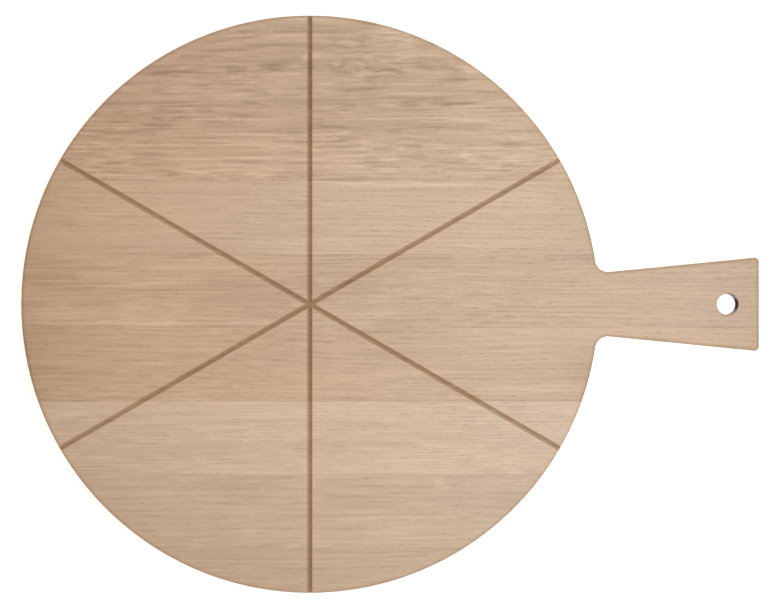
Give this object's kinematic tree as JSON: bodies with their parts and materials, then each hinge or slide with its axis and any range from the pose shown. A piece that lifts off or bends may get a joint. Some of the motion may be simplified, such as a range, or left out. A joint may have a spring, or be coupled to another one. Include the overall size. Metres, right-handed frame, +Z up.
{
  "type": "serving board",
  "caption": "Round edge-glued oak serving board with a tapered handle, a hanging hole and V grooves across the top that mark slices.",
  "frame": {"origin": "centre of the round board, on its underside", "axes": "+X along the handle and the grain, +Y to the back edge, +Z up out of the grooved top"},
  "size_m": [0.4855, 0.38, 0.015],
  "materials": {
    "oak": "sanded and oiled, matt",
    "glue": "cured wood glue, sanded flush"
  },
  "bodies": {
    "root": {"handle_stave_back": "oak", "handle_stave_front": "oak", "back_stave_1": "oak", "back_stave_2": "oak", "back_stave_3": "oak", "back_stave_4": "oak", "front_stave_1": "oak", "front_stave_2": "oak", "front_stave_3": "oak", "handle_glue_line": "glue", "back_glue_line_1": "glue", "back_glue_line_2": "glue", "back_glue_line_3": "glue", "back_glue_line_4": "glue", "front_glue_line_1": "glue", "front_glue_line_2": "glue", "front_glue_line_3": "glue"}
  },
  "joints": []
}
